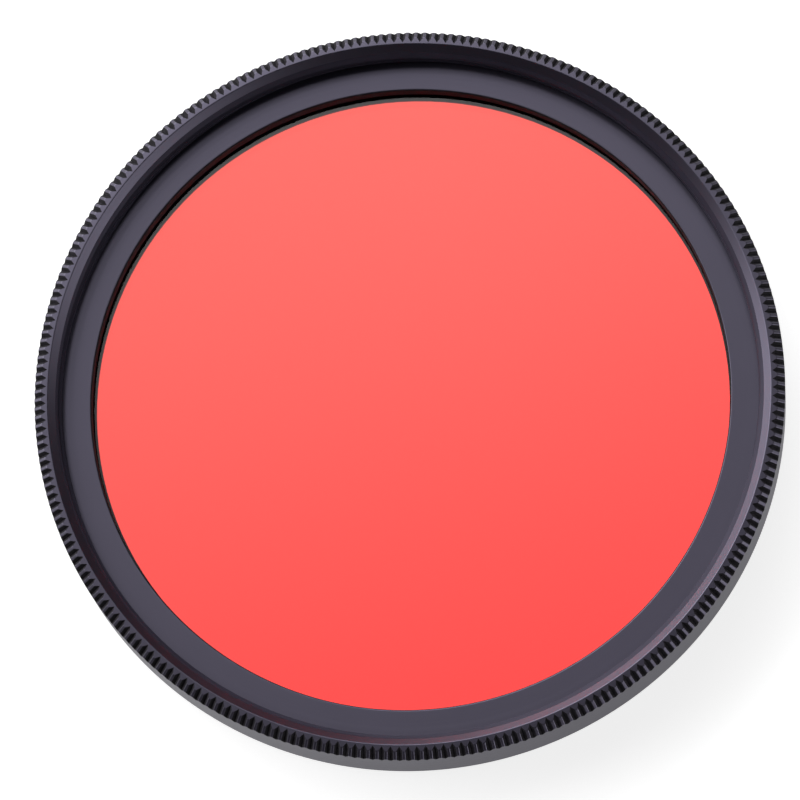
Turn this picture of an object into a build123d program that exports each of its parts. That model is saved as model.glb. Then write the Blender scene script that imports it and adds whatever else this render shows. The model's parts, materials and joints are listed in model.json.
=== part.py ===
from build123d import *
import math
import os

os.makedirs("parts", exist_ok=True)

# A screw-in colour filter for a lens with a 49 mm filter thread.
# Lengths are in millimetres. Z is the optical axis, up towards the front of the filter.
# Z = 0 is the end of the male thread, on which the filter lies.

# Filter thread, female in front and male behind, both left plain here
thread_diameter = 49.0
female_thread_room = 0.04
male_thread_room = 0.05
male_thread_length = 1.8
male_thread_chamfer = 0.3

# Ring outside the thread
rim_wall = 1.5
body_height = 4.65
rim_height = 0.8
band_inset = 0.05
band_edge_bevel = 0.1

# Knurled front corner
knurl_bevel_width = 0.52
knurl_bevel_depth = 0.45
knurl_pitch = 0.62
knurl_depth = 0.22
knurl_cut_overrun = 0.05

# Front recess and the flat flange at its foot
mouth_bevel_width = 0.5
mouth_bevel_depth = 0.45
recess_depth = 1.9
flange_reach = 2.3
flange_thickness = 0.9
flange_edge_bevel = 0.08

# Glass, held between the flange and the retaining ring
glass_overlap = 0.8
glass_thickness = 1.8
glass_edge_bevel = 0.2
glass_room = 0.1

# Retaining ring behind the glass
retainer_step = 0.3
retainer_room = 0.03
retainer_thread_runout = 0.3
retainer_entry_bevel = 0.2
retainer_inset = 0.1
retainer_thickness = 1.2
retainer_lip = 0.2
retainer_flare = 0.6
spanner_slot_width = 1.5
spanner_slot_depth = 0.6

# Radii
thread_radius = thread_diameter / 2
female_radius = thread_radius + female_thread_room
male_radius = thread_radius - male_thread_room
outer_radius = thread_radius + rim_wall
band_radius = outer_radius - band_inset
aperture_radius = thread_radius - flange_reach
glass_radius = aperture_radius + glass_overlap
seat_radius = glass_radius + glass_room
retainer_bore_radius = seat_radius + retainer_step
retainer_radius = retainer_bore_radius - retainer_room
retainer_opening_radius = aperture_radius - retainer_inset

# Heights
shoulder_z = male_thread_length
front_z = shoulder_z + body_height
flange_front_z = front_z - recess_depth
glass_front_z = flange_front_z - flange_thickness
glass_back_z = glass_front_z - glass_thickness
retainer_back_z = glass_back_z - retainer_thickness


def turned(outline):
    """A solid of revolution about the optical axis, from an outline of radius and height."""
    points = [(radius, 0, height) for radius, height in outline]
    return revolve(make_face(Polyline(*points, close=True)), axis=Axis.Z)


def ring_body():
    """The spigot of the male thread and the plain band, solid, up to the underside of the rim."""
    rim_back_z = front_z - rim_height
    return turned(
        [
            (0, 0),
            (male_radius - male_thread_chamfer, 0),
            (male_radius, male_thread_chamfer),
            (male_radius, shoulder_z),
            (band_radius - band_edge_bevel, shoulder_z),
            (band_radius, shoulder_z + band_edge_bevel),
            (band_radius, rim_back_z),
            (0, rim_back_z),
        ]
    )


def ring_inside():
    """What is bored out of the ring, from its mouth in front to its rear end."""
    runout_z = glass_back_z + retainer_thread_runout
    return turned(
        [
            (0, front_z),
            # Mouth bevel and the wall of the female thread
            (female_radius + mouth_bevel_width, front_z),
            (female_radius, front_z - mouth_bevel_depth),
            (female_radius, flange_front_z),
            # Aperture in the flange
            (aperture_radius + flange_edge_bevel, flange_front_z),
            (aperture_radius, flange_front_z - flange_edge_bevel),
            (aperture_radius, glass_front_z),
            # Seat of the glass, and the bore for the retaining ring
            (seat_radius, glass_front_z),
            (seat_radius, runout_z),
            (retainer_bore_radius, runout_z),
            (retainer_bore_radius, retainer_entry_bevel),
            (retainer_bore_radius + retainer_entry_bevel, 0),
            (0, 0),
        ]
    )


def rim(teeth):
    """The raised rim and its bevel, with one narrow flat for each tooth of the knurl."""
    corners = [Vector(outer_radius, 0).rotate(Axis.Z, 360 * tooth / teeth) for tooth in range(teeth)]
    outline = Pos(0, 0, front_z - knurl_bevel_depth) * make_face(Polyline(*corners, close=True))
    bevel_angle = math.degrees(math.atan2(knurl_bevel_width, knurl_bevel_depth))
    straight = extrude(outline, amount=-(rim_height - knurl_bevel_depth))
    bevelled = extrude(outline, amount=knurl_bevel_depth, taper=bevel_angle)
    return straight + bevelled


def knurl_groove():
    """One V groove of 90 degrees that runs down the bevel, at the corner at angle zero."""
    bevel_length = math.hypot(knurl_bevel_width, knurl_bevel_depth)
    down_the_bevel = Plane(
        origin=(outer_radius - knurl_bevel_width / 2, 0, front_z - knurl_bevel_depth / 2),
        x_dir=(0, 1, 0),
        z_dir=(knurl_bevel_width, 0, -knurl_bevel_depth),
    )
    half_width = knurl_depth + knurl_cut_overrun
    vee = make_face(
        Polyline(
            (0, -knurl_depth),
            (half_width, knurl_cut_overrun),
            (-half_width, knurl_cut_overrun),
            close=True,
        )
    )
    # Past both ends of the bevel, so that the groove runs out on the land and on the rim.
    reach = bevel_length / 2 + 2 * knurl_depth + knurl_cut_overrun
    return extrude(down_the_bevel * vee, amount=reach, both=True)


def filter_ring():
    teeth = round(2 * math.pi * outer_radius / knurl_pitch)
    groove = knurl_groove()
    grooves = [Rot(0, 0, 360 * tooth / teeth) * groove for tooth in range(teeth)]
    return ring_body() + rim(teeth) - ring_inside() - grooves


def filter_glass():
    """The disc, with a small bevel ground on both edges."""
    return turned(
        [
            (0, glass_back_z),
            (glass_radius - glass_edge_bevel, glass_back_z),
            (glass_radius, glass_back_z + glass_edge_bevel),
            (glass_radius, glass_front_z - glass_edge_bevel),
            (glass_radius - glass_edge_bevel, glass_front_z),
            (0, glass_front_z),
        ]
    )


def retaining_ring():
    """A thin ring that flares to the rear, with two slots for a spanner."""
    ring = turned(
        [
            (retainer_opening_radius, glass_back_z),
            (retainer_radius, glass_back_z),
            (retainer_radius, retainer_back_z),
            (retainer_opening_radius + retainer_flare, retainer_back_z),
            (retainer_opening_radius, glass_back_z - retainer_lip),
        ]
    )
    across = Box(
        3 * retainer_radius,
        spanner_slot_width,
        2 * spanner_slot_depth,
    )
    return ring - Pos(0, 0, retainer_back_z) * across


NODES = {
    "filter_ring": filter_ring,
    "filter_glass": filter_glass,
    "retaining_ring": retaining_ring,
}

for name, build in NODES.items():
    node = build()
    node.label = name
    export_step(node, f"parts/{name}.step")
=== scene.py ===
import json
import math

import bpy
from mathutils import Matrix, Vector


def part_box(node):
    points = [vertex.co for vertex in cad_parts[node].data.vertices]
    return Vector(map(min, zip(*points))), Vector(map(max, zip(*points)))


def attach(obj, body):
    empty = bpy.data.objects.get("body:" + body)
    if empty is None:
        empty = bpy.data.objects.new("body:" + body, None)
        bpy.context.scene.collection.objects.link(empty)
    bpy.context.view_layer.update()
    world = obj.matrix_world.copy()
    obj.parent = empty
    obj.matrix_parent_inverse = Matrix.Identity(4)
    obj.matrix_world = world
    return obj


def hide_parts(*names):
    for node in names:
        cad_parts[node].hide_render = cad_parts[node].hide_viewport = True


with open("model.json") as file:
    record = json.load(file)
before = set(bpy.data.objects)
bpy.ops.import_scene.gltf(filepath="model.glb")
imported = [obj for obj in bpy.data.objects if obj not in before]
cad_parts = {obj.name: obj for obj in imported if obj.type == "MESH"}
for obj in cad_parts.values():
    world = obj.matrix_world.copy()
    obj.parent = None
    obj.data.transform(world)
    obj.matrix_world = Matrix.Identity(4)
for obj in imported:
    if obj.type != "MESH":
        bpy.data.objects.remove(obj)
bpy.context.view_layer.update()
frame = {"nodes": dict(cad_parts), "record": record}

# A screw-in colour filter, lying on its rear thread with its front up.
# Lengths are in millimetres here and become metres where a mesh, texture or camera is made.
MM = 0.001

mounts = {mount["name"]: mount for mount in frame["record"]["mounts"]}
ring_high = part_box("filter_ring")[1]

# Front corner of the ring
front_z = ring_high.z / MM
outer_radius = ring_high.x / MM
rim_height = 0.8
band_inset = 0.05
band_edge_bevel = 0.1
mouth_bevel_width = 0.5
mouth_bevel_depth = 0.45

# Knurl
knurl_bevel_width = 0.52
knurl_bevel_depth = 0.45
knurl_pitch = 0.62
knurl_depth = 0.22
knurl_edge = 0.02

# Flange and the bores behind it
recess_depth = 1.9
flange_thickness = 0.9
flange_edge_bevel = 0.08
aperture_radius = 22.2
seat_radius = 23.1
seat_runout_z = 2.15
retainer_bore_radius = 23.4
retainer_entry_bevel = 0.2

# Threads
thread_pitch = 0.75
thread_steps_a_turn = 240
flank_slope = math.tan(math.radians(30))
thread_sink = 0.03
female_root = mounts["front_thread"]["dims"]["r_mm"]
female_crest = 24.2
female_crest_flat = 0.26
male_crest = mounts["lens_thread"]["dims"]["r_mm"]
male_root = 24.05
male_crest_flat = 0.094
male_runout_z = 1.3
shoulder_z = mounts["lens_seat"]["pos_m"][2] / MM

# How far a trimmed thread stays behind the mouth bevel, the land and flange, and the rear end
bevel_room = 0.004
mouth_room = 0.1
end_room = 0.01

# Rounding of the turned edges, and how far the front land falls to its outer edge
edge_round = 0.04
land_fall = 0.035

# Derived
flange_z = front_z - recess_depth
glass_front_z = flange_z - flange_thickness
band_radius = outer_radius - band_inset
knurl_foot_z = front_z - knurl_bevel_depth
mouth_foot_z = front_z - mouth_bevel_depth
land_start = female_root + mouth_bevel_width
land_edge = outer_radius - knurl_bevel_width * (1 - land_fall / knurl_bevel_depth)
land_slope = land_fall / (land_edge - land_start)
teeth = round(2 * math.pi * outer_radius / knurl_pitch)


# Ring

def ring_outline(groove):
    """Corners of the ring's section where a knurl groove is this deep, as radius, height and rounding."""
    length = math.hypot(knurl_bevel_width, knurl_bevel_depth)
    down = groove * length / knurl_bevel_width
    inward = groove * length / knurl_bevel_depth
    land_end = land_edge - inward
    return [
        # Rear end, male thread's root, shoulder and band
        (male_root, 0, edge_round),
        (male_root, shoulder_z, 0),
        (band_radius - band_edge_bevel, shoulder_z, edge_round),
        (band_radius, shoulder_z + band_edge_bevel, edge_round),
        (band_radius, front_z - rim_height, 0),
        (outer_radius, front_z - rim_height, edge_round / 2),
        # Knurled bevel and front land
        (outer_radius, knurl_foot_z - down, edge_round / 2),
        (land_end, front_z - land_slope * (land_end - land_start), edge_round),
        (land_start, front_z, edge_round),
        # Recess, flange and aperture
        (female_root, mouth_foot_z, 0),
        (female_root, flange_z, 0),
        (aperture_radius + flange_edge_bevel, flange_z, edge_round),
        (aperture_radius, flange_z - flange_edge_bevel, edge_round),
        (aperture_radius, glass_front_z, 0),
        # Seat of the glass and the bore behind it
        (seat_radius, glass_front_z, 0),
        (seat_radius, seat_runout_z, 0),
        (retainer_bore_radius, seat_runout_z, 0),
        (retainer_bore_radius, retainer_entry_bevel, 0),
        (retainer_bore_radius + retainer_entry_bevel, 0, edge_round),
    ]


def rounded(corners, steps=3):
    """Replaces each corner that has a rounding by a short curve, and keeps the others."""
    points = []
    for index, (radius, height, rounding) in enumerate(corners):
        corner = Vector((radius, height))
        if rounding == 0:
            points.append(corner)
            continue
        before = Vector(corners[index - 1][:2])
        after = Vector(corners[(index + 1) % len(corners)][:2])
        start = corner + (before - corner).normalized() * rounding
        end = corner + (after - corner).normalized() * rounding
        for step in range(steps + 1):
            t = step / steps
            points.append(start.lerp(corner, t).lerp(corner.lerp(end, t), t))
    return points


def swept(name, sections, closed):
    """A mesh through closed sections of points in millimetres. An open sweep is capped at both ends."""
    count = len(sections[0])
    vertices = [Vector(point) * MM for section in sections for point in section]
    faces = []
    for row in range(len(sections) if closed else len(sections) - 1):
        here = row * count
        there = (row + 1) % len(sections) * count
        for column in range(count):
            after = (column + 1) % count
            faces.append((here + column, there + column, there + after, here + after))
    if not closed:
        faces.append(tuple(range(count)))
        faces.append(tuple(reversed(range(len(vertices) - count, len(vertices)))))
    mesh = bpy.data.meshes.new(name)
    mesh.from_pydata(vertices, [], faces)
    mesh.polygons.foreach_set("use_smooth", [True] * len(mesh.polygons))
    # Shading is smooth along the sweep only, so that broad faces stay flat beside small roundings.
    mesh.set_sharp_from_angle(angle=math.radians(4))
    piece = bpy.data.objects.new(name, mesh)
    bpy.context.scene.collection.objects.link(piece)
    return piece


def turned_to(angle, point):
    """A point of the section, turned to this angle about the optical axis."""
    radius, height = point
    return radius * math.cos(angle), radius * math.sin(angle), height


def ring():
    """The ring, with V grooves of 90 degrees all round its knurled bevel."""
    half = knurl_depth
    cuts = [
        (-half - knurl_edge, 0),
        (-half + knurl_edge, knurl_edge),
        (0, knurl_depth),
        (half - knurl_edge, knurl_edge),
        (half + knurl_edge, 0),
    ]
    groove_walls = (1, 2)
    outlines = {depth: rounded(ring_outline(depth)) for _, depth in cuts}
    sections = []
    for tooth in range(teeth):
        for across, depth in cuts:
            angle = 2 * math.pi * tooth / teeth + across / outer_radius
            sections.append([turned_to(angle, point) for point in outlines[depth]])
    piece = swept("knurled_ring", sections, closed=True)

    # The walls of the grooves, between points that a groove moves, and of the aperture are dull: painted
    # shade for the deep grooves and the shaded aperture wall.
    count = len(outlines[0])
    moved = [plain != cut for plain, cut in zip(outlines[0], outlines[knurl_depth])]
    bore = [point.x < aperture_radius + flange_edge_bevel for point in outlines[0]]
    for column in range(count):
        after = (column + 1) % count
        for row in range(len(sections)):
            in_groove = moved[column] and moved[after] and row % len(cuts) in groove_walls
            if in_groove or (bore[column] and bore[after]):
                piece.data.polygons[row * count + column].material_index = 1
    return piece


# Threads

def thread_section(root, crest, crest_flat):
    """Radius and height of a ridge's section about its middle. Its base is sunk into the wall."""
    inward = math.copysign(1, crest - root)
    base = root - inward * thread_sink
    base_half = crest_flat / 2 + abs(crest - base) * flank_slope
    waist = (base + crest) / 2
    waist_half = (base_half + crest_flat / 2) / 2
    return [
        (base, -base_half),
        (waist, -waist_half),
        (crest, -crest_flat / 2),
        (crest, 0),
        (crest, crest_flat / 2),
        (waist, waist_half),
        (base, base_half),
    ]


def thread_ridge(name, section, low_z, high_z, limit):
    """A right-handed helical ridge from one height to another.
    limit keeps each point of it inside the metal's outline."""
    turns = (high_z - low_z) / thread_pitch
    sections = []
    for step in range(round(turns * thread_steps_a_turn) + 1):
        angle = 2 * math.pi * step / thread_steps_a_turn
        middle = low_z + thread_pitch * step / thread_steps_a_turn
        points = [limit(radius, middle + height) for radius, height in section]
        sections.append([turned_to(angle, point) for point in points])
    return swept(name, sections, closed=False)


def inside_mouth(radius, height):
    """Trims the front thread along the mouth bevel, and lets its rear end run into the flange."""
    height = min(max(height, flange_z - mouth_room), front_z - mouth_room)
    bevel = female_root + (height - mouth_foot_z) * mouth_bevel_width / mouth_bevel_depth
    return max(radius, bevel + bevel_room), height


def inside_end(radius, height):
    """Trims the rear thread to its end chamfer, and fades it out before the shoulder."""
    height = max(height, end_room)
    fade = min(1, max(0, (shoulder_z - height) / (shoulder_z - male_runout_z)))
    chamfer = male_root - end_room + height
    faded = male_root - thread_sink + (male_crest - male_root + thread_sink) * fade
    return min(radius, chamfer, faded), height


def front_thread():
    section = thread_section(female_root, female_crest, female_crest_flat)
    lead = 0.4
    return thread_ridge("front_thread", section, flange_z - lead, front_z, inside_mouth)


def lens_thread():
    section = thread_section(male_root, male_crest, male_crest_flat)
    lead = 0.3
    return thread_ridge("lens_thread", section, -lead, shoulder_z, inside_end)


# Materials

# Fineness of the noise textures, in features a metre
turning_scale = 3500.0
grain_scale = 14000.0
mottle_scale = 260.0
dust_scale = 2500.0
haze_scale = 180.0
melt_scale = 60.0


class Nodes:
    """Short calls to build a material's node tree."""

    def __init__(self, tree):
        self.tree = tree

    def add(self, kind, **inputs):
        """A node with these sockets set to a value or fed by another node's output."""
        node = self.tree.nodes.new(kind)
        for name, value in inputs.items():
            socket = node.inputs[name.replace("_", " ")]
            if isinstance(value, bpy.types.NodeSocket):
                self.tree.links.new(value, socket)
            else:
                socket.default_value = value
        return node

    def math(self, operation, *values):
        node = self.tree.nodes.new("ShaderNodeMath")
        node.operation = operation
        for index, value in enumerate(values):
            if isinstance(value, bpy.types.NodeSocket):
                self.tree.links.new(value, node.inputs[index])
            else:
                node.inputs[index].default_value = value
        return node.outputs[0]

    def range(self, value, low, high, to_low, to_high):
        node = self.add(
            "ShaderNodeMapRange",
            Value=value,
            From_Min=low,
            From_Max=high,
            To_Min=to_low,
            To_Max=to_high,
        )
        return node.outputs["Result"]

    def blend(self, factor, first, second):
        """A colour between two colours."""
        node = self.tree.nodes.new("ShaderNodeMix")
        node.data_type = "RGBA"
        self.tree.links.new(factor, node.inputs["Factor"])
        node.inputs[6].default_value = (*first, 1)
        node.inputs[7].default_value = (*second, 1)
        return node.outputs[2]

    def weighted(self, first, second, first_share):
        """A mix of two noises, of which the first has this share."""
        return self.math(
            "ADD",
            self.math("MULTIPLY", first, first_share),
            self.math("MULTIPLY", second, 1 - first_share),
        )


def new_material(name):
    """An empty material, its node helper and its output."""
    material = bpy.data.materials.new(name)
    material.use_nodes = True
    material.node_tree.nodes.clear()
    nodes = Nodes(material.node_tree)
    return material, nodes, nodes.add("ShaderNodeOutputMaterial")


def anodised(name, base_roughness, ior, lightness):
    """Black anodised aluminium: fine turning rings, a matt grain and a faint mottle in tone."""
    deep = Vector((0.0095, 0.0085, 0.0135)) * lightness
    pale = Vector((0.0135, 0.012, 0.0185)) * lightness
    material, nodes, output = new_material(name)
    place = nodes.add("ShaderNodeTexCoord").outputs["Object"]
    split = nodes.add("ShaderNodeSeparateXYZ", Vector=place)
    square = nodes.math(
        "ADD",
        nodes.math("POWER", split.outputs["X"], 2.0),
        nodes.math("POWER", split.outputs["Y"], 2.0),
    )
    path = nodes.math("ADD", nodes.math("SQRT", square), split.outputs["Z"])

    turning = nodes.tree.nodes.new("ShaderNodeTexNoise")
    turning.noise_dimensions = "1D"
    nodes.tree.links.new(path, turning.inputs["W"])
    turning.inputs["Scale"].default_value = turning_scale
    turning.inputs["Detail"].default_value = 2

    rings = turning.outputs["Fac"]
    grain = nodes.add("ShaderNodeTexNoise", Vector=place, Scale=grain_scale, Detail=3.0).outputs["Fac"]
    mottle = nodes.add("ShaderNodeTexNoise", Vector=place, Scale=mottle_scale, Detail=4.0).outputs["Fac"]

    tone = nodes.weighted(mottle, grain, 0.6)
    colour = nodes.blend(nodes.range(tone, 0.35, 0.65, 0, 1), deep, pale)
    roughness = nodes.math(
        "ADD",
        nodes.range(rings, 0.3, 0.7, base_roughness, base_roughness + 0.04),
        nodes.range(grain, 0.3, 0.7, 0.0, 0.04),
    )
    relief = nodes.weighted(rings, grain, 0.6)
    bump = nodes.add("ShaderNodeBump", Height=relief, Strength=0.2, Distance=0.01 * MM)
    shader = nodes.add(
        "ShaderNodeBsdfPrincipled",
        Base_Color=colour,
        Roughness=roughness,
        IOR=ior,
        Specular_Tint=(0.79, 0.73, 1.0, 1),
        Normal=bump.outputs["Normal"],
    )
    nodes.tree.links.new(shader.outputs["BSDF"], output.inputs["Surface"])
    return material


def painted_shade_black():
    """Walls of the knurl's grooves and of the aperture, dull and almost black as painted shade, with a
    little grey dust.
    """
    material, nodes, output = new_material("painted_shade_black")
    place = nodes.add("ShaderNodeTexCoord").outputs["Object"]
    dust = nodes.add("ShaderNodeTexNoise", Vector=place, Scale=dust_scale, Detail=3.0).outputs["Fac"]
    colour = nodes.blend(
        nodes.range(dust, 0.4, 0.75, 0, 1),
        (0.008, 0.007, 0.010),
        (0.026, 0.023, 0.029),
    )
    shader = nodes.add(
        "ShaderNodeBsdfPrincipled",
        Base_Color=colour,
        Roughness=nodes.range(dust, 0.3, 0.7, 0.7, 0.85),
        Specular_IOR_Level=0.22,
    )
    nodes.tree.links.new(shader.outputs["BSDF"], output.inputs["Surface"])
    return material


def coloured_glass():
    """Orange-red glass, a little lighter towards the far side as a painted reflection of the lights there,
    with a trace of handling on its polish.
    """
    material, nodes, output = new_material("coloured_glass")
    place = nodes.add("ShaderNodeTexCoord").outputs["Object"]
    split = nodes.add("ShaderNodeSeparateXYZ", Vector=place)
    melt = nodes.add("ShaderNodeTexNoise", Vector=place, Scale=melt_scale, Detail=2.0).outputs["Fac"]
    # Painted reflection: the colour turns a little lighter towards the far side, where the lights are,
    # with a faint random wobble from the melt.
    along = nodes.math(
        "ADD",
        nodes.range(split.outputs["Y"], -aperture_radius * MM, aperture_radius * MM, 0, 1),
        nodes.range(melt, 0.3, 0.7, -0.02, 0.02),
    )
    colour = nodes.blend(along, (1.0, 0.085, 0.082), (1.0, 0.098, 0.078))
    haze = nodes.add("ShaderNodeTexNoise", Vector=place, Scale=haze_scale, Detail=3.0).outputs["Fac"]
    shader = nodes.add(
        "ShaderNodeBsdfPrincipled",
        Base_Color=colour,
        Roughness=nodes.range(haze, 0.45, 0.75, 0.004, 0.02),
        IOR=1.52,
        Transmission_Weight=1.0,
    )
    nodes.tree.links.new(shader.outputs["BSDF"], output.inputs["Surface"])
    return material


def pale_floor():
    """A white table. What the camera, metal and glass see of it is brighter, and its shadows stay."""
    glow_to_camera = 0.8
    glow_to_metal = 0.45
    paint_tone = 0.5
    material, nodes, output = new_material("pale_floor")
    ray = nodes.add("ShaderNodeLightPath").outputs
    seen = nodes.math("MULTIPLY", ray["Is Camera Ray"], glow_to_camera)
    seen = nodes.math("MAXIMUM", seen, nodes.math("MULTIPLY", ray["Is Glossy Ray"], glow_to_metal))
    seen = nodes.math("MAXIMUM", seen, ray["Is Transmission Ray"])
    glow = nodes.add("ShaderNodeEmission", Color=(1, 1, 1, 1), Strength=seen)
    paint = nodes.add("ShaderNodeBsdfDiffuse", Color=(paint_tone, paint_tone, paint_tone, 1))
    both = nodes.tree.nodes.new("ShaderNodeAddShader")
    nodes.tree.links.new(glow.outputs[0], both.inputs[0])
    nodes.tree.links.new(paint.outputs[0], both.inputs[1])
    nodes.tree.links.new(both.outputs[0], output.inputs["Surface"])
    return material


# Pieces

metal = anodised("black_anodised", base_roughness=0.31, ior=1.97, lightness=1.0)
# The threads take a rougher, less shiny copy of the anodised finish whose base colour is 2.2 times
# lighter: painted light on the thread walls.
thread_painted_lighter = anodised("thread_painted_lighter", base_roughness=0.42, ior=1.33, lightness=2.2)
for piece, finish in ((ring(), metal), (front_thread(), thread_painted_lighter), (lens_thread(), thread_painted_lighter)):
    piece.data.materials.append(finish)
    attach(piece, "root")
    if piece.name == "knurled_ring":
        # Second slot: the dull black painted shade for the groove and aperture walls.
        piece.data.materials.append(painted_shade_black())
        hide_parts("filter_ring")

frame["nodes"]["retaining_ring"].material_slots[0].material = metal
frame["nodes"]["filter_glass"].material_slots[0].material = coloured_glass()


# Floor, lights and camera

def floor(half_width):
    """The table, a square this many metres to each side."""
    mesh = bpy.data.meshes.new("floor")
    corners = [(-1, -1), (1, -1), (1, 1), (-1, 1)]
    mesh.from_pydata([(x * half_width, y * half_width, 0) for x, y in corners], [], [(0, 1, 2, 3)])
    mesh.materials.append(pale_floor())
    piece = bpy.data.objects.new("floor", mesh)
    bpy.context.scene.collection.objects.link(piece)


def soft_light(nodes, direction, azimuth, elevation, half_size, softness, radiance):
    """How bright the surroundings are through one soft rectangular light. Angles are in degrees.
    Its half size and the softness of its edges are each given across and upright."""
    across_light = math.radians(azimuth)
    up_light = math.radians(elevation)
    facing = Vector(
        (
            math.cos(up_light) * math.cos(across_light),
            math.cos(up_light) * math.sin(across_light),
            math.sin(up_light),
        )
    )
    sideways = Vector((-math.sin(across_light), math.cos(across_light), 0))
    upwards = facing.cross(sideways)

    def along(axis):
        node = nodes.tree.nodes.new("ShaderNodeVectorMath")
        node.operation = "DOT_PRODUCT"
        nodes.tree.links.new(direction, node.inputs[0])
        node.inputs[1].default_value = axis
        return node.outputs["Value"]

    light = radiance
    for axis, half, soft in zip((sideways, upwards), half_size, softness):
        off = nodes.math("ARCTAN2", nodes.math("ABSOLUTE", along(axis)), along(facing))
        edge = nodes.add(
            "ShaderNodeMapRange",
            Value=off,
            From_Min=math.radians(half + soft),
            From_Max=math.radians(half - soft),
        )
        edge.interpolation_type = "SMOOTHSTEP"
        light = nodes.math("MULTIPLY", edge.outputs["Result"], light)
    return light


def surroundings():
    """A dim room with three soft lights: a key and a low one on the far side, and a fill near on
    the right."""
    room_light = 0.041
    world = bpy.data.worlds.new("world")
    world.use_nodes = True
    nodes = Nodes(world.node_tree)
    direction = nodes.add("ShaderNodeTexCoord").outputs["Generated"]
    key = soft_light(
        nodes,
        direction,
        azimuth=87,
        elevation=52.8,
        half_size=(15, 21.6),
        softness=(20, 4),
        radiance=2.05,
    )
    low = soft_light(
        nodes,
        direction,
        azimuth=123.6,
        elevation=28.5,
        half_size=(39.6, 25),
        softness=(14, 12),
        radiance=4.0,
    )
    fill = soft_light(
        nodes,
        direction,
        azimuth=315.4,
        elevation=10,
        half_size=(30.8, 13.2),
        softness=(20, 4),
        radiance=2.5,
    )
    lights = nodes.math("ADD", nodes.math("ADD", key, low), fill)
    background = world.node_tree.nodes["Background"]
    background.inputs["Color"].default_value = (1, 1, 1, 1)
    nodes.tree.links.new(nodes.math("ADD", lights, room_light), background.inputs["Strength"])
    bpy.context.scene.world = world


def camera():
    """Looks down on the filter from the near side, as the photograph does."""
    tilt = math.radians(15.65)
    roll = math.radians(17.46)
    distance = 425
    offset = Vector((-0.552, -0.656))
    towards = Vector((0, -math.sin(tilt), math.cos(tilt)))
    uphill = Vector((0, math.cos(tilt), math.sin(tilt)))
    sideways = Vector((1, 0, 0))
    right = math.cos(roll) * sideways - math.sin(roll) * uphill
    up = math.cos(roll) * uphill + math.sin(roll) * sideways
    aim = Vector((0, 0, knurl_foot_z))
    place = aim + distance * towards + offset.x * right + offset.y * up
    lens = bpy.data.cameras.new("camera")
    lens.sensor_width = 36
    lens.lens = 277
    lens.clip_start = 0.01
    turn = Matrix((right, up, towards)).transposed().to_4x4()
    view = bpy.data.objects.new("camera", lens)
    view.matrix_world = Matrix.Translation(place * MM) @ turn
    bpy.context.scene.collection.objects.link(view)
    bpy.context.scene.camera = view


floor(half_width=1.5)
surroundings()
bpy.context.scene.view_settings.view_transform = "Standard"
camera()


def plain(box):
    """A box's two corners as lists of numbers."""
    return [list(corner) for corner in box]
